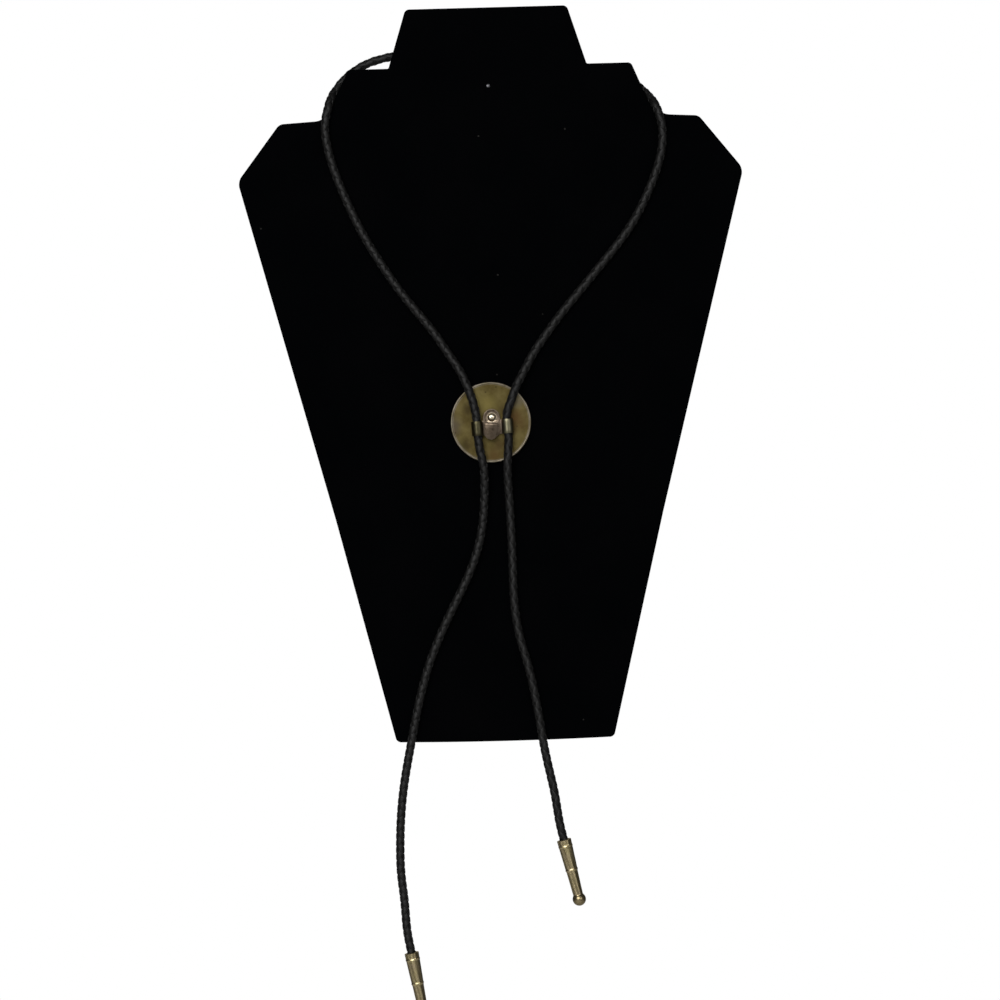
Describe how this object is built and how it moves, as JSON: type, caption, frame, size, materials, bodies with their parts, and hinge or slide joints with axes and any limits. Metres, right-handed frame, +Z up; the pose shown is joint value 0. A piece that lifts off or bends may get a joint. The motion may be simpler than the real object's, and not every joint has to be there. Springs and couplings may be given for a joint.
{
  "type": "bolo tie on a necklace display board",
  "caption": "Braided cord tie with metal tips and a round clip slide shown back out, hung round the neck of a flat display board.",
  "frame": {"origin": "axis of the board's wall pin, at the back face of the display board", "axes": "+Z up, +Y from the board's front to its back, towards the wall, +X to the right as seen from the front"},
  "size_m": [0.238, 0.0243, 0.4772],
  "materials": {
    "velvet": "matte short-pile velvet over board",
    "pin_steel": "plain bright pin",
    "disc_brass": "tarnished, with brown stains and a paler rim",
    "clip_bronze": "worn nickel bronze, dulled",
    "leather": "round braided, smooth, semi-gloss",
    "tip_brass": "antique brass, darkened in the hollows"
  },
  "bodies": {
    "board_and_tie": {"display_board": "velvet", "board_pin": "pin_steel", "slide_disc": "disc_brass", "clip_body": "clip_bronze", "clip_hinge_pin": "clip_bronze", "bolo_cord": "leather", "tip_left": "tip_brass", "tip_right": "tip_brass"},
    "lever": {"clip_lever": "clip_bronze"}
  },
  "joints": [
    {"name": "lever_hinge", "type": "hinge", "parent": "board_and_tie", "child": "lever", "pos_m": [-0.00273, -0.0098, -0.16037], "axis": [-0.9981, 0, 0.061], "range_deg": [0, 75]}
  ]
}
